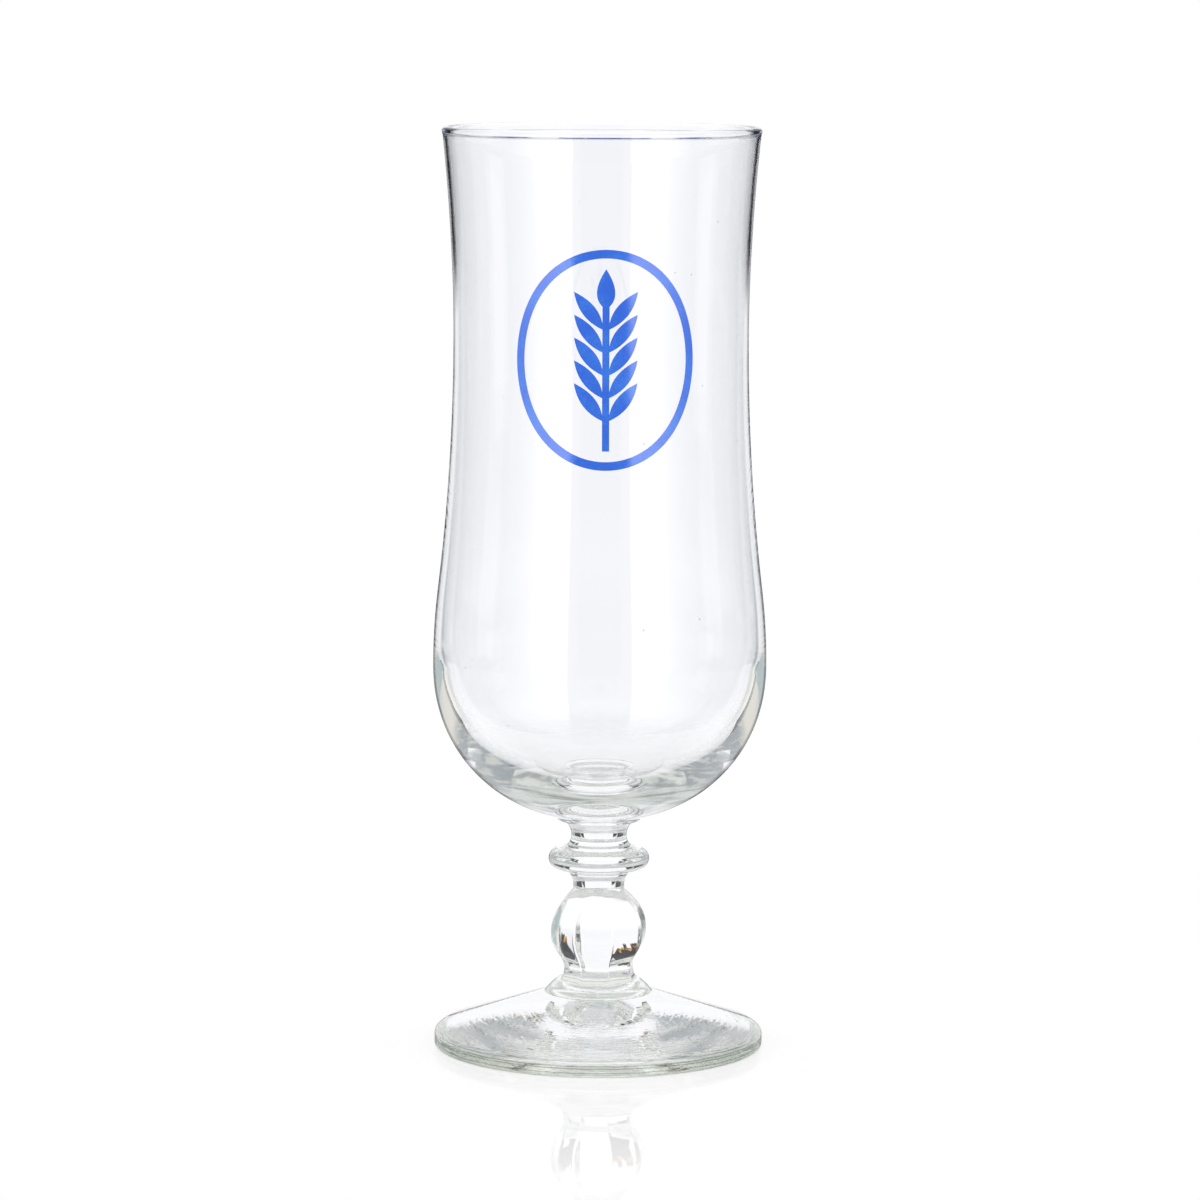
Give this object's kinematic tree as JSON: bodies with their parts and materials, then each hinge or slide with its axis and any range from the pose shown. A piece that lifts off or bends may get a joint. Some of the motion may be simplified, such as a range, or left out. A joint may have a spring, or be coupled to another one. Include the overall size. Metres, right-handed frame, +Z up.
{
  "type": "stemmed beer glass",
  "caption": "Clear stemmed beer glass with a tall tulip bowl, flared rim and thick base, on a collared faceted stem and a sloping round foot, with blue enamel on the front.",
  "frame": {"origin": "centre of the foot's resting plane, on the axis that every glass piece is turned about", "axes": "+Z up along the stem towards the rim, -Y towards the side with the print"},
  "size_m": [0.068, 0.068, 0.188],
  "materials": {
    "clear_glass": "clear soda-lime glass, fire-polished",
    "stem_glass": "clear pressed soda-lime glass, fire-polished",
    "foot_glass": "clear pressed soda-lime glass, greenish at its thick edge",
    "blue_enamel": "opaque fired glass enamel, half gloss"
  },
  "bodies": {
    "root": {"bowl": "clear_glass", "upper_neck": "stem_glass", "collar_ring": "stem_glass", "lower_neck": "stem_glass", "faceted_knop": "stem_glass", "foot_boss": "stem_glass", "foot": "foot_glass", "enamel_band": "blue_enamel", "enamel_ear": "blue_enamel"}
  },
  "joints": []
}
